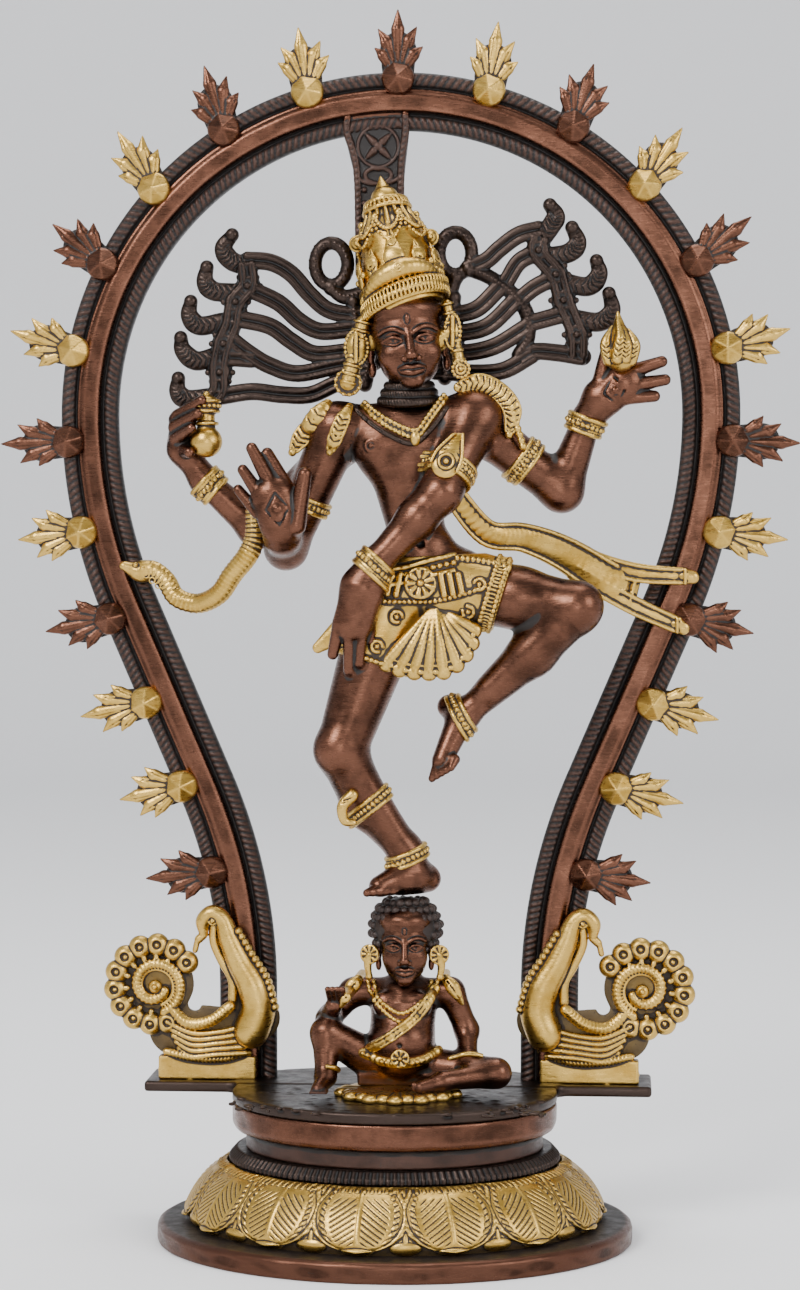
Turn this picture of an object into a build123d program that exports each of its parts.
from build123d import *
from math import atan2, cos, degrees, hypot, pi, radians, sin
import os

# Brass statue of a dancer in a ring of flames, on a lotus pedestal. Millimetres.
# Origin: centre of the pedestal's footprint, on the surface that the statue stands on.
# +Z is up, -Y is the front, +X is the viewer's right. "Left" and "right" name the
# viewer's side on the arch, and the dancer's own side on the arms and legs.

# Pedestal: every ring is an oval, this much narrower front to back than side to side.
OVAL = 63 / 74
FOOT_HALF_WIDTH = 74
FOOT_HEIGHT = 6.3
LOTUS_TOP = 25.0
COLLAR_TOP = 29.0
DRUM_TOP = 43.0
DECK_TOP = 46.5
DRUM_HALF_WIDTH = 50.4
NECK_HALF_WIDTH = 46.5
WALL = 4.0
PETALS = 14
COLLAR_BEADS = 72
TAB_REACH = 80
TAB_FRONT = 8
TAB_BACK = 33

# Arch: the inner edge is a half circle on long side arcs, straight legs and curved feet.
ARCH_CENTRE_Z = 257.0
ARCH_RADIUS = 89.0
SIDE_RADIUS = 144.7
FOOT_RADIUS = 175.0
LEG_LEAN = 23.2
LEG_LENGTH = 62.0
BAND_WIDTH = 18.2
BAND_FRONT = 17.0
BAND_BACK = 23.0
RIDGE_FRONT = 14.5
RIDGE_INNER = 5.0
RIDGE_OUTER = 10.7
STRAP_X = -6.0

# Flames: leaf-shaped castings, evenly spaced along one line near the arch's outer edge.
FLAME_LINE = 16.0
FLAME_PITCH = 28.9
FLAMES_PER_SIDE = 11
FLAME_LENGTH = 21.5
FLAME_THICK = 3.0
FLAME_LIFT = 15.0
BOSS_RADIUS = 5.2
BOSS_HEIGHT = 3.6

# Fasteners, countersunk flush from below.
SCREW_RADIUS = 1.5
SCREW_HEAD_RADIUS = 2.9
SCREW_HEAD_HEIGHT = 1.6
SCREW_LENGTH = 10.0
TAB_SCREWS = [(side * x, y) for side in (-1, 1) for x, y in ((47.5, 20.0), (66.0, 13.5))]
DWARF_SCREWS = [(-4.0, 2.0), (8.0, 2.0)]

# Stands a cylinder or cone on its place.
ON_BASE = (Align.CENTER, Align.CENTER, Align.MIN)

# Dancer's joints.
NECK = (2.8, 0.5, 261)
SHOULDER_LEFT = (24.5, 0, 255)
SHOULDER_RIGHT = (-17.5, 0, 252)
ELBOW_FRONT_LEFT = (15, -13, 232)
WRIST_FRONT_LEFT = (-5, -16, 210)
ELBOW_BACK_LEFT = (51.5, 8, 233)
WRIST_BACK_LEFT = (59.5, 6, 255)
ELBOW_FRONT_RIGHT = (-34, 2, 215)
WRIST_FRONT_RIGHT = (-34, -9, 219)
ELBOW_BACK_RIGHT = (-43.5, 8, 221)
WRIST_BACK_RIGHT = (-60, 6, 236)
HIP_RIGHT = (0, 0, 199)
HIP_LEFT = (18, -2, 202)
KNEE_RIGHT = (-16, -6, 153)
KNEE_LEFT = (56, -10, 197)
ANKLE_RIGHT = (4, 1, 120)
ANKLE_LEFT = (21.5, -6, 163)
HEAD = (3.5, -1.5, 280)
CROWN_FOOT = (3.4, -1, 291)
CROWN_TIP = (-5.0, 7, 331)


def between(start, end, share):
    """The point at a share of the way from start to end."""
    return tuple(a + (b - a) * share for a, b in zip(start, end))


def limb(points, radii):
    """Adds a round limb through the points, tapering from radius to radius."""
    for start, end, start_radius, end_radius in zip(points, points[1:], radii, radii[1:]):
        span = Vector(end) - Vector(start)
        with Locations(Plane(origin=between(start, end, 0.5), z_dir=span)):
            if abs(start_radius - end_radius) < 0.02:
                Cylinder(start_radius, span.length)
            else:
                Cone(start_radius, end_radius, span.length)
    for point, radius in zip(points, radii):
        with Locations(point):
            Sphere(radius)


def band(start, end, share, radius, width, thick):
    """Adds a ring round a limb at a share of its length."""
    axis = Vector(end) - Vector(start)
    with Locations(Plane(origin=between(start, end, share), z_dir=axis)):
        Cylinder(radius + thick, width)
        Torus(radius + thick - 0.2, width * 0.22)


def beads(points, radius):
    """Adds one bead at each point."""
    with Locations(*points):
        Sphere(radius)


def oval_points(half_width, count, z, start=0.0):
    """Points spread by angle round an oval of the pedestal's proportion."""
    turns = [start + 2 * pi * index / count for index in range(count)]
    return [(half_width * cos(t), half_width * OVAL * sin(t), z) for t in turns]


def oval(half_width):
    """Adds an oval of the pedestal's proportion to the sketch."""
    Ellipse(half_width, half_width * OVAL)


def strand(points, width):
    """Adds a flat strand through the points to the sketch."""
    for start, end in zip(points, points[1:]):
        run, rise = end[0] - start[0], end[1] - start[1]
        with Locations(((start[0] + end[0]) / 2, (start[1] + end[1]) / 2)):
            SlotCenterToCenter(hypot(run, rise), width, rotation=degrees(atan2(rise, run)))


def cut_away(*parts):
    """Takes neighbouring pieces out of the part in hand, so the two meet face to face."""
    for part in parts:
        add(part, mode=Mode.SUBTRACT)


def save(part, name):
    part.label = name
    export_step(part, f"parts/{name}.step")


os.makedirs("parts", exist_ok=True)

# ---------------------------------------------------------------- pedestal

with BuildPart() as base_plate:
    with BuildSketch():
        oval(FOOT_HALF_WIDTH)
        Ellipse(58, 58 * OVAL, mode=Mode.SUBTRACT)
    extrude(amount=FOOT_HEIGHT)
    fillet(base_plate.edges().group_by(Axis.Z)[-1].sort_by(SortBy.LENGTH)[-1], 2.2)
    fillet(base_plate.edges().group_by(Axis.Z)[0].sort_by(SortBy.LENGTH)[-1], 1.0)
save(base_plate.part, "base_plate")

# Each level of the lotus: height, half width at the petal tips, depth between petals.
LOTUS_LEVELS = [(FOOT_HEIGHT, 65, 1.5), (10, 67, 4.0), (15, 64, 3.6), (20, 57, 2.4), (LOTUS_TOP, 51, 1.0)]

with BuildPart() as lotus_ring:
    for height, half_width, depth in LOTUS_LEVELS:
        valleys = oval_points(half_width - depth, PETALS, 0, pi / PETALS)
        crests = oval_points(half_width, PETALS, 0, 2 * pi / PETALS)
        with BuildSketch(Plane.XY.offset(height)):
            with BuildLine():
                for index in range(PETALS):
                    ThreePointArc(valleys[index], crests[index], valleys[(index + 1) % PETALS])
            make_face()
    loft()
    with BuildSketch(Plane.XY.offset(FOOT_HEIGHT)):
        oval(58)
    with BuildSketch(Plane.XY.offset(LOTUS_TOP)):
        oval(NECK_HALF_WIDTH - WALL)
    loft(mode=Mode.SUBTRACT)
save(lotus_ring.part, "lotus_ring")

with BuildPart() as beaded_collar:
    with BuildSketch(Plane.XY.offset(LOTUS_TOP)):
        oval(49.5)
        Ellipse(NECK_HALF_WIDTH - WALL, (NECK_HALF_WIDTH - WALL) * OVAL, mode=Mode.SUBTRACT)
    extrude(amount=COLLAR_TOP - LOTUS_TOP)
    beads(oval_points(49.3, COLLAR_BEADS, (LOTUS_TOP + COLLAR_TOP) / 2), 1.9)
save(beaded_collar.part, "beaded_collar")

with BuildPart() as plinth_drum:
    with BuildSketch(Plane.XY.offset(COLLAR_TOP)):
        oval(NECK_HALF_WIDTH)
    extrude(amount=DRUM_TOP - COLLAR_TOP)
    with BuildSketch(Plane.XY.offset(35)):
        oval(DRUM_HALF_WIDTH)
    extrude(amount=DRUM_TOP - 35)
    fillet(plinth_drum.edges().filter_by_position(Axis.Z, 34.9, 35.1).sort_by(SortBy.LENGTH)[-1], 2.6)
    with BuildSketch(Plane.XY.offset(COLLAR_TOP)):
        oval(NECK_HALF_WIDTH - WALL)
    extrude(amount=DRUM_TOP - COLLAR_TOP, mode=Mode.SUBTRACT)
save(plinth_drum.part, "plinth_drum")

with BuildPart() as deck_plate:
    with BuildSketch(Plane.XY.offset(DRUM_TOP)) as outline:
        oval(DRUM_HALF_WIDTH)
        with Locations((0, (TAB_FRONT + TAB_BACK) / 2)):
            RectangleRounded(2 * TAB_REACH, TAB_BACK - TAB_FRONT, 1.5)
        fillet([corner for corner in outline.vertices() if abs(corner.X) < DRUM_HALF_WIDTH], 6)
    extrude(amount=DECK_TOP - DRUM_TOP)
    with Locations(*[(x, y, DRUM_TOP) for x, y in TAB_SCREWS + DWARF_SCREWS]):
        Cylinder(SCREW_RADIUS, 2 * SCREW_LENGTH, mode=Mode.SUBTRACT)
        Cone(SCREW_HEAD_RADIUS, SCREW_RADIUS, SCREW_HEAD_HEIGHT, mode=Mode.SUBTRACT,
             align=ON_BASE)
save(deck_plate.part, "deck_plate")


def screws(places):
    """Adds a countersunk screw at each place, its head flush with the deck's underside."""
    with Locations(*[(x, y, DRUM_TOP) for x, y in places]):
        Cylinder(SCREW_RADIUS, SCREW_LENGTH, align=ON_BASE)
        Cone(SCREW_HEAD_RADIUS, SCREW_RADIUS, SCREW_HEAD_HEIGHT,
             align=ON_BASE)


with BuildPart() as tab_screws:
    screws(TAB_SCREWS)
save(tab_screws.part, "tab_screws")

with BuildPart() as dwarf_screws:
    screws(DWARF_SCREWS)
save(dwarf_screws.part, "dwarf_screws")

# ---------------------------------------------------------------- arch

LEAN = radians(LEG_LEAN)
SIDE_CENTRE_X = ARCH_RADIUS - SIDE_RADIUS
SIDE_END_X = SIDE_CENTRE_X + SIDE_RADIUS * cos(LEAN)
SIDE_END_Z = ARCH_CENTRE_Z - SIDE_RADIUS * sin(LEAN)
LEG_END_X = SIDE_END_X - LEG_LENGTH * sin(LEAN)
LEG_END_Z = SIDE_END_Z - LEG_LENGTH * cos(LEAN)


def arch_point(along, out):
    """Point and outward angle on the arch, along millimetres down one side from the top."""
    crown_run = (ARCH_RADIUS + out) * pi / 2
    side_run = (SIDE_RADIUS + out) * LEAN
    if along < crown_run:
        angle = pi / 2 - along / (ARCH_RADIUS + out)
        reach = ARCH_RADIUS + out
        return reach * cos(angle), ARCH_CENTRE_Z + reach * sin(angle), degrees(angle)
    along -= crown_run
    if along < side_run:
        angle = -along / (SIDE_RADIUS + out)
        reach = SIDE_RADIUS + out
        return SIDE_CENTRE_X + reach * cos(angle), ARCH_CENTRE_Z + reach * sin(angle), degrees(angle)
    along -= side_run
    x = SIDE_END_X + out * cos(LEAN) - min(along, LEG_LENGTH) * sin(LEAN)
    z = SIDE_END_Z - out * sin(LEAN) - min(along, LEG_LENGTH) * cos(LEAN)
    along = max(along - LEG_LENGTH, 0)
    turn = along / (FOOT_RADIUS - out)
    swing = FOOT_RADIUS - out
    x -= swing * (cos(LEAN - turn) - cos(LEAN))
    z -= swing * (sin(LEAN) - sin(LEAN - turn))
    return x, z, degrees(turn - LEAN)


def arch_half(out):
    """Adds the right half of the arch line, this far outside the inner edge, down to the deck."""
    top = (0, ARCH_CENTRE_Z + ARCH_RADIUS + out)
    shoulder = (ARCH_RADIUS + out, ARCH_CENTRE_Z)
    hip = (SIDE_END_X + out * cos(LEAN), SIDE_END_Z - out * sin(LEAN))
    knee = (LEG_END_X + out * cos(LEAN), LEG_END_Z - out * sin(LEAN))
    swing = FOOT_RADIUS - out
    foot = (knee[0] - swing * (1 - cos(LEAN)), knee[1] - swing * sin(LEAN))
    RadiusArc(top, shoulder, ARCH_RADIUS + out)
    RadiusArc(shoulder, hip, SIDE_RADIUS + out)
    Line(hip, knee)
    RadiusArc(knee, foot, -swing)
    Line(foot, (foot[0], DECK_TOP))
    return (foot[0], DECK_TOP), top


def half_band(inner, outer):
    """The face of the right half of the band between two arch lines."""
    with BuildSketch(Plane.XY, mode=Mode.PRIVATE) as face:
        with BuildLine():
            inner_foot, inner_top = arch_half(inner)
            outer_foot, outer_top = arch_half(outer)
            Line(inner_foot, outer_foot)
            Line(inner_top, outer_top)
        make_face()
    return face.sketch


def upright(y):
    """The upright plane at this depth, which extrudes towards the front."""
    return Plane.XZ.offset(-y)


STRAP_FACE = [(-17, 352), (-17, 345), (-13.8, 333), (-13, 300), (1.5, 300), (1.5, 333), (3, 345), (3, 352)]

with BuildPart() as arch_band:
    with BuildSketch(upright(BAND_BACK)):
        add(half_band(0, BAND_WIDTH))
        mirror(about=Plane.YZ)
    extrude(amount=BAND_BACK - BAND_FRONT)
    for narrowing, front in ((0, BAND_FRONT - 1.4), (0.9, RIDGE_FRONT)):
        with BuildSketch(upright(BAND_FRONT)):
            add(half_band(RIDGE_INNER + narrowing, RIDGE_OUTER - narrowing))
            mirror(about=Plane.YZ)
        extrude(amount=BAND_FRONT - front)
    with BuildSketch(upright(BAND_BACK)):
        Polygon(*STRAP_FACE, align=None)
    extrude(amount=BAND_BACK - BAND_FRONT)
    with BuildSketch(upright(BAND_FRONT)):
        with Locations((STRAP_X + 1.5, 308)):
            RectangleRounded(9, 12, 2)
    extrude(amount=9)
    with Locations(*[(x, y, DRUM_TOP) for x, y in TAB_SCREWS]):
        Cylinder(SCREW_RADIUS, 2 * SCREW_LENGTH, mode=Mode.SUBTRACT)

# ---------------------------------------------------------------- peacocks

# A peacock faces the arch: its round tail fan is outermost, its neck hooks over on top.
FAN_CENTRE = (-77.5, 76.5)
FAN_RADIUS = 12.0
FAN_LOBES = 9
PEACOCK_BACK = BAND_FRONT
PEACOCK_THICK = 6.5
NECK_LINE = [(-62.5, 93), (-60, 98), (-56, 98), (-53.5, 92), (-50, 84), (-45.5, 78)]
BREAST_LINE = [(-45.5, 78), (-43, 70), (-45, 62)]
GAP_LINE = [(-57.5, 79), (-62, 74), (-64.5, 67.5)]


def peacock():
    """The left-hand peacock: an openwork casting with a raised rim, wing and tail scroll."""
    with BuildPart() as bird:
        with BuildSketch(upright(PEACOCK_BACK)):
            with Locations(FAN_CENTRE):
                Circle(FAN_RADIUS)
                with PolarLocations(FAN_RADIUS, FAN_LOBES, start_angle=50, angular_range=230):
                    Circle(3.3)
            strand(NECK_LINE, 5.5)
            strand(BREAST_LINE, 12)
            strand([(-74, 63), (-68, 61), (-62, 61), (-52, 60)], 13)
            with Locations((-61, 53)):
                RectangleRounded(30, 2 * (53 - DECK_TOP), 1.0)
            strand(GAP_LINE, 4.6)
        extrude(amount=PEACOCK_THICK)
        with BuildSketch(upright(PEACOCK_BACK)):
            strand(GAP_LINE, 4.6)
        extrude(amount=PEACOCK_THICK, mode=Mode.SUBTRACT)
        front = PEACOCK_BACK - PEACOCK_THICK
        with BuildSketch(upright(front)):
            with Locations(FAN_CENTRE):
                Circle(7.5)
                Circle(5.6, mode=Mode.SUBTRACT)
                Circle(2.2)
            strand([(-72, 62), (-64, 66), (-58, 66), (-52, 60)], 3.0)
            strand([(-74, 56), (-62, 60), (-52, 56)], 2.0)
        extrude(amount=1.2)
        beads([between((-52, front, 88), (-41, front, 66), step / 8) for step in range(9)], 1.2)
        with Locations(*[(x, y, DRUM_TOP) for x, y in TAB_SCREWS]):
            Cylinder(SCREW_RADIUS, 2 * SCREW_LENGTH, mode=Mode.SUBTRACT)
        cut_away(arch_band.part)
    return bird.part


peacock_left = peacock()
peacock_right = mirror(peacock_left, about=Plane.YZ)
save(peacock_left, "peacock_left")
save(peacock_right, "peacock_right")

# ---------------------------------------------------------------- flames

LOBES = [(-42, 0.62), (-22, 0.84), (0, 1.0), (22, 0.84), (42, 0.62)]


def flame(x, z, angle):
    """A leaf of five pointed lobes behind a domed boss, pointing out along the angle."""
    place = Plane(origin=(x, BAND_FRONT, z), x_dir=(cos(radians(angle)), 0, sin(radians(angle))),
                  z_dir=(0, -1, 0))
    with BuildPart() as leaf:
        with BuildSketch(place):
            for turn, share in LOBES:
                reach = FLAME_LENGTH * share
                with Locations(Location((0, 0, 0), (0, 0, turn * 0.8))):
                    Polygon((0, 0), (reach * 0.55, 2.3), (reach, 0), (reach * 0.55, -2.3), align=None)
        extrude(amount=FLAME_THICK)
        with Locations(place):
            Cylinder(BOSS_RADIUS, FLAME_THICK + 1, align=ON_BASE)
        with Locations(place.offset(FLAME_THICK + 1)):
            Cone(BOSS_RADIUS, BOSS_RADIUS * 0.5, BOSS_HEIGHT - 1, align=ON_BASE)
    return leaf.part


for side, side_name in ((-1, "left"), (1, "right")):
    for count in range(1, FLAMES_PER_SIDE + 1):
        x, z, angle = arch_point(count * FLAME_PITCH, FLAME_LINE)
        angle += FLAME_LIFT * sin(radians(2 * abs(angle)))
        piece = flame(side * x, z, angle if side > 0 else 180 - angle)
        save(piece, f"flame_{side_name}_{count}")
save(flame(0, arch_point(0, FLAME_LINE)[1], 90), "flame_top")

# ---------------------------------------------------------------- dwarf

DWARF_NECK = (3.3, 0, 79)
DWARF_HEAD = (3.5, -4, 94)

with BuildPart() as lotus_mat:
    with BuildSketch(Plane.XY.offset(DECK_TOP)):
        with Locations((2, -6)):
            Ellipse(19, 15)
            Ellipse(9, 24)
    extrude(amount=2.5)
    with Locations(*[(x, y, DRUM_TOP) for x, y in DWARF_SCREWS]):
        Cylinder(SCREW_RADIUS, 2 * SCREW_LENGTH, mode=Mode.SUBTRACT)
save(lotus_mat.part, "lotus_mat")

with BuildPart() as dwarf_body:
    limb([DWARF_NECK, (3, -2, 72), (2, -4, 59)], [4.5, 9.5, 11.0])
    limb([(-12.5, 0, 77), (17, 0, 77)], [4.4, 4.4])
    limb([(-13.5, 0, 76.5), (-21, -2, 68), (-17.5, -11, 75)], [4.4, 3.4, 2.8])
    limb([(17.5, 0, 77), (22.5, 1, 64), (23, -9, 54)], [4.4, 3.6, 2.8])
    limb([(-5, -3, 55), (-21, -8, 65), (-20.5, -13, 53), (-22, -20, 50.5)], [6.5, 5.0, 3.4, 2.6])
    limb([(9, -2, 54.5), (33, -9, 53.5), (13, -17, 52.5)], [6.0, 4.6, 3.0])
    with BuildSketch(Plane.XY.offset(DECK_TOP + 2.5)):
        with Locations((2, 0)):
            Ellipse(15, 11)
    extrude(amount=4)
    limb([DWARF_NECK, DWARF_HEAD], [4.5, 4.5])
    split(bisect_by=Plane.XY.offset(DECK_TOP), keep=Keep.TOP)
    cut_away(lotus_mat.part)
    with Locations(*[(x, y, DRUM_TOP) for x, y in DWARF_SCREWS]):
        Cylinder(SCREW_RADIUS, 2 * SCREW_LENGTH, mode=Mode.SUBTRACT)

with BuildPart() as dwarf_head:
    with Locations(DWARF_HEAD):
        Sphere(9.3)
    limb([(3.5, -5, 91), (3.7, -7.5, 87)], [8.0, 5.0])
    limb([(3.5, -1, 97), (3.5, 1, 98.5)], [11.0, 9.5])
    split(bisect_by=Plane.XY.offset(107.5), keep=Keep.BOTTOM)
    cut_away(dwarf_body.part)

with BuildPart() as dwarf_earrings:
    for side in (-1, 1):
        with Locations((3.5 + side * 11.2, -5.5, 89)):
            Sphere(2.6)
        limb([(3.5 + side * 11.2, -5.5, 89), (3.5 + side * 12.5, -4, 84)], [1.6, 1.2])
    cut_away(dwarf_head.part, dwarf_body.part)
save(dwarf_earrings.part, "dwarf_earrings")
save(dwarf_head.part, "dwarf_head")

with BuildPart() as dwarf_ornaments:
    limb([(-6, -7.5, 80), (2.5, -13, 74), (12, -8, 79)], [1.6, 1.6, 1.6])
    limb([(12, -9.5, 76), (3, -15.5, 66), (-6, -12, 58)], [2.2, 2.2, 2.2])
    limb([(-8, -8, 58.5), (-2, -14.5, 56), (8, -14, 56), (13, -7, 58.5)], [1.8, 1.8, 1.8, 1.8])
    for side in (-1, 1):
        limb([(2.5 + side * 14, -3.5, 80.5), (2.5 + side * 17.5, -4.5, 77)], [2.2, 1.6])
    cut_away(dwarf_body.part)
save(dwarf_ornaments.part, "dwarf_ornaments")
save(dwarf_body.part, "dwarf_body")

# ---------------------------------------------------------------- dancer

# Torso sections: height, sideways centre, half width, half depth.
TORSO_LEVELS = [(194, 8, 11, 9), (205, 9.5, 14, 10.5), (216, 8.5, 11.5, 9.5), (226, 5.5, 10, 8),
                (238, 3.5, 13, 9), (248, 3, 17, 9.5), (256, 3.3, 18, 8), (261, 3, 9, 6)]

with BuildPart() as torso:
    for height, centre_x, half_width, half_depth in TORSO_LEVELS:
        with BuildSketch(Plane.XY.offset(height)):
            with Locations((centre_x, 0)):
                Ellipse(half_width, half_depth)
    loft()
    limb([NECK, between(NECK, HEAD, 0.6)], [5.2, 5.2])

with BuildPart() as head:
    with Locations(HEAD):
        Sphere(11)
    limb([between(HEAD, (5, -9, 264), 0.4), (5, -7.5, 269.5)], [9.5, 5.0])
    cut_away(torso.part)

with BuildPart() as leg_standing:
    limb([HIP_RIGHT, KNEE_RIGHT, (-10.5, 0, 137), ANKLE_RIGHT, (9, 3, 112.5)], [12.4, 8.2, 7.2, 5.0, 5.0])
    limb([ANKLE_RIGHT, (2, -5, 113), (-9, -12, 110.2)], [4.6, 5.0, 2.8])
    split(bisect_by=Plane.XY.offset(107.5), keep=Keep.TOP)
    cut_away(torso.part)

with BuildPart() as leg_raised:
    limb([HIP_LEFT, KNEE_LEFT, between(KNEE_LEFT, ANKLE_LEFT, 0.35), ANKLE_LEFT], [11.5, 7.9, 6.8, 4.2])
    limb([ANKLE_LEFT, (16.5, -1, 164), (13, -11, 147)], [4.2, 3.6, 2.6])
    cut_away(torso.part, leg_standing.part)

with BuildPart() as arm_front_left:
    limb([SHOULDER_LEFT, ELBOW_FRONT_LEFT, WRIST_FRONT_LEFT], [8.6, 6.4, 4.5])
    limb([WRIST_FRONT_LEFT, (-8.5, -15.5, 199), (-11.5, -14, 188), (-13, -14, 177)], [4.5, 6.0, 4.6, 1.8])
    cut_away(torso.part, leg_standing.part, leg_raised.part)

with BuildPart() as arm_front_right:
    limb([SHOULDER_RIGHT, ELBOW_FRONT_RIGHT, WRIST_FRONT_RIGHT], [7.8, 6.0, 5.0])
    limb([WRIST_FRONT_RIGHT, (-35, -13, 227), (-36, -13, 232)], [5.0, 5.6, 5.6])
    limb([(-32, -14, 228), (-26.5, -14, 237)], [2.8, 2.0])
    for reach in (-6.5, -3.5, 0):
        limb([(-35 + reach, -13.5, 232), (-39 + reach, -13.5, 244 + reach / 2)], [2.2, 1.7])
    cut_away(torso.part)

with BuildPart() as arm_back_right:
    limb([(-15, 5, 249), ELBOW_BACK_RIGHT, WRIST_BACK_RIGHT], [6.5, 5.4, 4.0])
    limb([WRIST_BACK_RIGHT, (-67, 5, 247), (-64, 4, 257)], [4.0, 3.4, 2.8])
    limb([(-67, 4, 247), (-60, 2, 251)], [2.6, 2.2])
    limb([(-64, 4, 257), (-57, 2, 258)], [2.6, 1.8])
    cut_away(torso.part, arm_front_right.part)

with BuildPart() as arm_back_left:
    limb([(28, 4, 251), ELBOW_BACK_LEFT, WRIST_BACK_LEFT], [7.0, 6.0, 4.2])
    limb([WRIST_BACK_LEFT, (66, 3, 264), (72, 2, 266)], [4.2, 5.6, 4.6])
    for lift in (-3.5, 0, 3.5):
        limb([(70, 2, 266 + lift * 0.7), (81.5, 2, 267 + lift)], [2.2, 1.8])
    limb([(64, 2, 266), (62, 0, 273)], [2.4, 1.8])
    cut_away(torso.part, arm_front_left.part)

with BuildPart() as hip_cloth:
    with BuildSketch(Plane.XY.offset(190)):
        with Locations((4, -1)):
            Ellipse(20, 14)
    with BuildSketch(Plane.XY.offset(200)):
        with Locations((6, 0)):
            Ellipse(19.5, 14)
    with BuildSketch(Plane.XY.offset(211)):
        with Locations((9.5, 0)):
            Ellipse(14.5, 12)
    loft()
    limb([(16, -2, 201.5), (36, -6, 200)], [14.5, 12.5])
    with BuildSketch(upright(-8)):
        Polygon((-8, 200), (-8, 179.5), (3, 179), (6, 176.6), (15, 176.6), (21.7, 181), (24.5, 189),
                (16, 200), align=None)
    extrude(amount=6)
    with BuildSketch(upright(4)):
        Polygon((-6, 199), (-19, 196), (-26, 184), (-21, 182), (-6, 188), align=None)
    extrude(amount=5)
    cut_away(torso.part, leg_standing.part, leg_raised.part, arm_front_left.part)

# ---------------------------------------------------------------- crown, jewels, hair

LEAN_OF_CROWN = Vector(CROWN_TIP) - Vector(CROWN_FOOT)


def crown_plane(share):
    """The plane across the crown at a share of its height."""
    return Plane(origin=between(CROWN_FOOT, CROWN_TIP, share), z_dir=LEAN_OF_CROWN)


# Crown sections: share of the height, radius at that share.
CROWN_LEVELS = [(0.0, 12.6), (0.12, 12.8), (0.3, 12.0), (0.47, 11.0), (0.62, 8.2), (0.72, 6.4),
                (0.8, 5.4), (1.0, 1.0)]

with BuildPart() as crown:
    for share, radius in CROWN_LEVELS:
        with BuildSketch(crown_plane(share)):
            Circle(radius)
    loft(ruled=True)
    for share, radius, thick in ((0.03, 12.7, 1.5), (0.16, 12.7, 1.2), (0.74, 6.3, 1.1)):
        with Locations(crown_plane(share)):
            Torus(radius, thick)
    beads([(-11.5, 0, 309), (11.0, 1, 311)], 2.4)
    cut_away(head.part, arch_band.part)

with BuildPart() as ear_ornaments:
    for side, top, low in ((-1, (-10.5, -3, 284), (-14.5, -2, 266)), (1, (16.3, -3, 290), (21.5, -2, 270))):
        limb([(3.5 + side * 9, -1, 280), between(top, low, 0.4)], [3.0, 2.2])
        limb([top, low], [2.4, 1.8])
        with Locations(Plane(origin=low, z_dir=(0, -1, 0))):
            Cylinder(3.5, 3.6)
    cut_away(head.part, crown.part, torso.part)

with BuildPart() as necklace:
    limb([(-11, -5, 261), (-7, -8.5, 256.5), (7, -10.5, 250), (11, -9, 254.5), (15.5, -6, 261)], [1.9] * 5)
    limb([(-14, -7, 257.5), (-18, -7.5, 246)], [2.2, 1.6])
    limb([(-22, -6, 258), (-29, -4, 247)], [2.4, 1.8])
    limb([(17, -8.5, 262), (27, -5, 264.5), (34, -4, 260), (35, -3, 250)], [2.0, 2.4, 2.4, 1.8])
    cut_away(torso.part, head.part, arm_front_left.part, arm_front_right.part, arm_back_right.part,
             ear_ornaments.part)

with BuildPart() as armlets:
    band(SHOULDER_LEFT, ELBOW_FRONT_LEFT, 0.74, 7.0, 4.5, 1.4)
    limb([(16.4, -18, 240), (21.6, -15.5, 251)], [4.2, 1.4])
    band((28, 4, 251), ELBOW_BACK_LEFT, 0.45, 6.6, 4.0, 1.2)
    band(SHOULDER_RIGHT, ELBOW_FRONT_RIGHT, 0.6, 6.8, 3.6, 1.0)
    cut_away(arm_front_left.part, arm_back_left.part, arm_front_right.part, torso.part,
             arm_back_right.part, necklace.part)

with BuildPart() as bracelets:
    band(ELBOW_FRONT_LEFT, WRIST_FRONT_LEFT, 1.0, 4.8, 4.8, 1.4)
    band(ELBOW_BACK_LEFT, WRIST_BACK_LEFT, 0.94, 4.4, 4.0, 1.5)
    band(ELBOW_BACK_RIGHT, WRIST_BACK_RIGHT, 0.92, 4.1, 4.6, 1.2)
    band(ELBOW_FRONT_RIGHT, WRIST_FRONT_RIGHT, 0.9, 5.1, 2.0, 0.9)
    cut_away(arm_front_left.part, arm_back_left.part, arm_front_right.part, arm_back_right.part,
             hip_cloth.part, torso.part)

with BuildPart() as leg_bands:
    band((-10.5, 0, 137), ANKLE_RIGHT, 0.22, 6.8, 3.4, 1.2)
    band(ANKLE_RIGHT, (9, 3, 112.5), 0.1, 5.0, 3.6, 1.7)
    band(KNEE_LEFT, ANKLE_LEFT, 1.0, 4.3, 3.6, 1.6)
    limb([(-14, -8, 141), (-16.8, -6.5, 134), (-14.5, -3, 128)], [2.3, 1.9, 1.6])
    cut_away(leg_standing.part, leg_raised.part)

with BuildPart() as damaru:
    with Locations((-58.5, -1, 248.5)):
        Sphere(5.4)
    limb([(-58.5, -1, 248.5), (-60.5, 0, 256.5)], [3.4, 4.2])
    cut_away(arm_back_right.part)

with BuildPart() as fire:
    limb([(70, -2, 271), (70, -2, 275), (69.5, -1.5, 286.5)], [3.6, 4.8, 0.9])
    limb([(67, -2, 275), (65.5, -1.5, 281)], [2.0, 0.8])
    limb([(73, -2, 275), (74.5, -1.5, 280)], [2.0, 0.8])
    cut_away(arm_back_left.part)

SNAKE_LINE = [(-43.9, -1, 226), (-43.3, -2, 218.4), (-45.6, -1, 212.7), (-50.6, 1, 207),
              (-55.1, 4, 200.4), (-62.4, 8, 197.6), (-69.7, 10, 199.3), (-72.5, 11, 205),
              (-77, 11.5, 208.5), (-82, 11.5, 207)]

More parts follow.
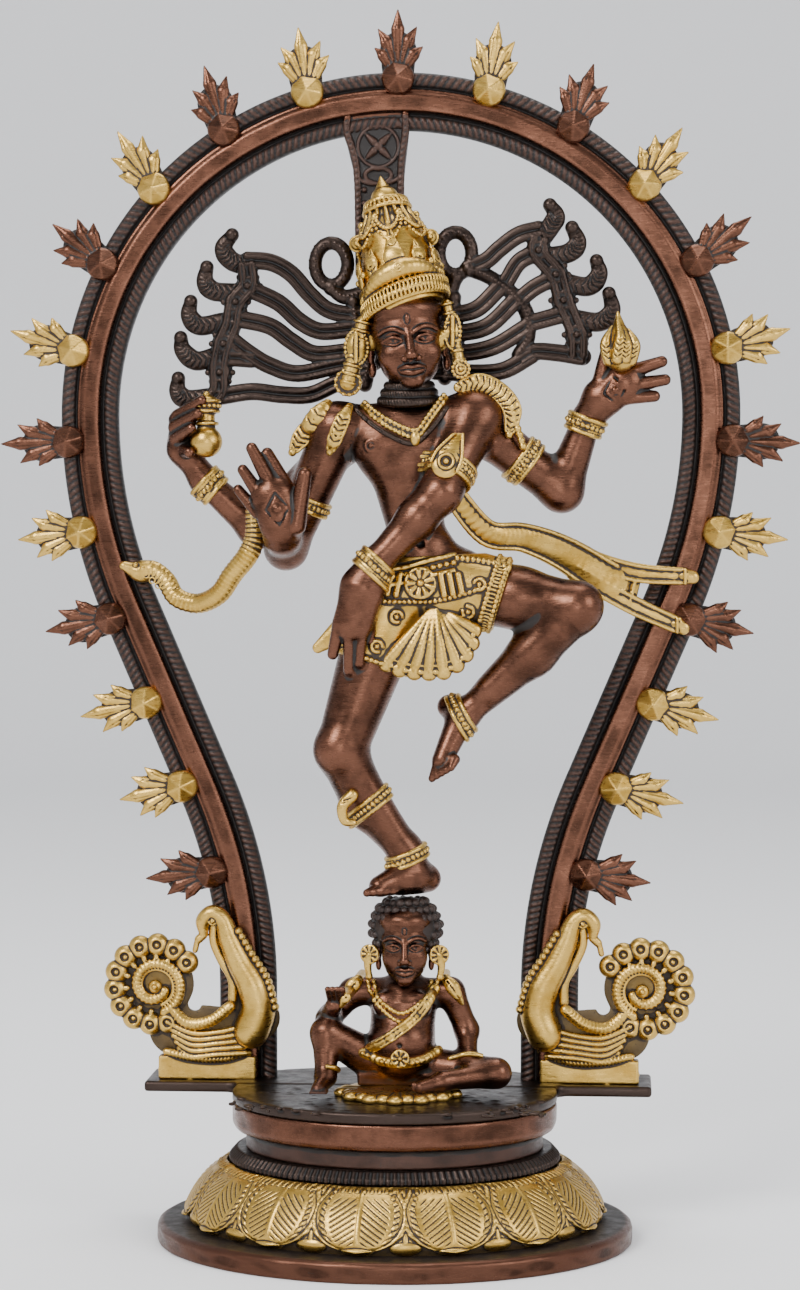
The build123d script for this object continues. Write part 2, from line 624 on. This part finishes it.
with BuildPart() as snake:
    limb(SNAKE_LINE, [2.6, 2.8, 2.9, 2.9, 2.7, 2.6, 2.6, 2.6, 2.8, 3.4])
    cut_away(arm_front_right.part, arm_back_right.part, arch_band.part, bracelets.part)

# Sash sections: place, direction of run, ribbon width.
SASH_LEVELS = [((18, -5, 233), (0.7, 0.2, -1), 6.5), ((28.5, 2, 220), (1, 0.2, -0.5), 8.0),
               ((40, 6, 218), (1, 0.2, -0.2), 9.0), ((53, 9, 213.5), (1, 0.1, -0.5), 11),
               ((67, 10.5, 204.5), (1, 0.1, -0.6), 13)]

with BuildPart() as sash:
    for place, run, width in SASH_LEVELS:
        with BuildSketch(Plane(origin=place, x_dir=(0.15, -1, 0), z_dir=run)):
            Rectangle(3.2, width)
    loft()
    with BuildSketch(upright(12.5)):
        strand([(67, 207.3), (77, 207.3), (87, 206)], 5.4)
        strand([(65, 202), (76, 196.5), (86, 191.5)], 5.0)
        strand([(73.5, 206), (72, 198)], 3.0)
    extrude(amount=4)
    cut_away(arm_front_left.part, armlets.part, torso.part, hip_cloth.part, arch_band.part)


def hair_wing(strands, knots, ring, ring_bridge):
    """A flat openwork wing of locks: strands with hooked tips, knots where they cross, a ring."""
    with BuildPart() as wing:
        with BuildSketch(upright(13)):
            for points, width in strands:
                strand(points, width)
            for knot in knots:
                with Locations(knot):
                    RegularPolygon(3.7, 6)
            strand(ring_bridge, 4.0)
            with Locations(ring):
                Ellipse(6.7, 8.3)
                Ellipse(3.7, 4.9, mode=Mode.SUBTRACT)
        extrude(amount=5)
        cut_away(head.part, crown.part, arch_band.part, arm_back_left.part, ear_ornaments.part,
                 necklace.part, torso.part, fire.part)
    return wing.part


TIP = 4.4
SPINE = 4.2
LOCK = 4.0
LEFT_STRANDS = [
    ([(-46.5, 303), (-52, 305), (-54.5, 309), (-51.7, 313)], TIP),
    ([(-50.5, 295), (-57.5, 295.5), (-60.3, 298.5), (-59.7, 303)], TIP),
    ([(-54.5, 286), (-62, 284.7), (-65.3, 288), (-64.8, 292.3)], TIP),
    ([(-56, 275.5), (-63, 273.7), (-67.3, 277), (-68, 281)], TIP),
    ([(-57.5, 262.5), (-66, 261.7), (-69, 264.2), (-68.8, 268.3)], TIP),
    ([(-47, 304), (-46.7, 297), (-50.5, 292), (-52, 284.7), (-54.3, 279), (-55.8, 265), (-57.5, 262)], SPINE),
    ([(-47, 304.5), (-39.5, 304.3), (-33, 300.7), (-27, 294), (-20.5, 289), (-14, 287.3)], LOCK),
    ([(-46, 296), (-37, 291.7), (-30.5, 286), (-24, 282.8), (-15.5, 283.2)], LOCK),
    ([(-51, 287), (-40, 284.5), (-33, 279.7), (-26, 275.8), (-16.5, 276.3)], LOCK),
    ([(-53, 281), (-46, 275.7), (-39.5, 272), (-31, 269.6), (-18, 272)], LOCK),
    ([(-56, 262.5), (-45.5, 264), (-36, 263), (-27, 263), (-18.5, 266.5)], LOCK),
    ([(-56, 274.5), (-51, 274.5), (-45.5, 274)], LOCK),
    ([(-17, 286), (-17, 264)], 3.0),
    ([(-18, 282), (-2, 280)], 9.0),
]
RIGHT_STRANDS = [
    ([(44.5, 310), (48.3, 315.5), (49.6, 318.4), (47.7, 321.6)], TIP),
    ([(46, 305.5), (53.5, 306.7), (56.4, 310), (54.6, 314.6)], TIP),
    ([(51, 298), (59.4, 296.3), (63, 300), (62.2, 304.2)], TIP),
    ([(54.5, 286.5), (63, 285.3), (67, 288.7), (66.1, 294.1)], TIP),
    ([(44.5, 311), (44, 307), (49.6, 300), (52, 292), (54.5, 286), (56.5, 275.3)], SPINE),
    ([(22.5, 302), (28.7, 299.5), (35, 295.2), (39.5, 290.2), (41.2, 285), (40.5, 279), (38, 275)], SPINE),
    ([(44.5, 314), (38, 312.3), (32, 308), (28, 304.5), (22, 302.5)], TIP),
    ([(44, 307), (38.2, 304), (34.3, 298)], LOCK),
    ([(49, 299), (43, 296), (38, 292)], LOCK),
    ([(53, 288), (44, 285.6), (41, 285)], LOCK),
    ([(58, 274.5), (49.5, 275.8), (43, 276.1), (39, 274)], LOCK),
    ([(32, 296), (25, 289.5), (17.5, 287.8)], LOCK),
    ([(37, 292), (28.5, 284.2), (19.5, 282)], LOCK),
    ([(41, 284), (30.5, 277.8), (20.5, 275.8)], LOCK),
    ([(42, 275), (33, 270.2), (20, 269.6)], LOCK),
    ([(20, 291), (20, 268)], 3.0),
    ([(20, 281), (8, 281)], 9.0),
]

hair_left = hair_wing(LEFT_STRANDS, [(-46.7, 297), (-50.5, 292), (-54.3, 279), (-55.5, 270)],
                      (-20.5, 303.7), [(-20.5, 297.5), (-18.5, 291), (-17, 286)])
hair_right = hair_wing(RIGHT_STRANDS, [(44.2, 307.5), (49.6, 300), (52, 292), (56.2, 281.3)],
                       (18.3, 306.8), [(18.3, 300.5), (19, 296), (20, 290)])

for piece, name in ((torso, "torso"), (head, "head"), (crown, "crown"),
                    (ear_ornaments, "ear_ornaments"), (necklace, "necklace"),
                    (arm_front_left, "arm_front_left"), (arm_back_left, "arm_back_left"),
                    (arm_front_right, "arm_front_right"), (arm_back_right, "arm_back_right"),
                    (armlets, "armlets"), (bracelets, "bracelets"), (hip_cloth, "hip_cloth"),
                    (leg_standing, "leg_standing"), (leg_raised, "leg_raised"),
                    (leg_bands, "leg_bands"), (sash, "sash"), (snake, "snake"),
                    (damaru, "damaru"), (fire, "fire"), (arch_band, "arch_band")):
    save(piece.part, name)
save(hair_left, "hair_left")
save(hair_right, "hair_right")
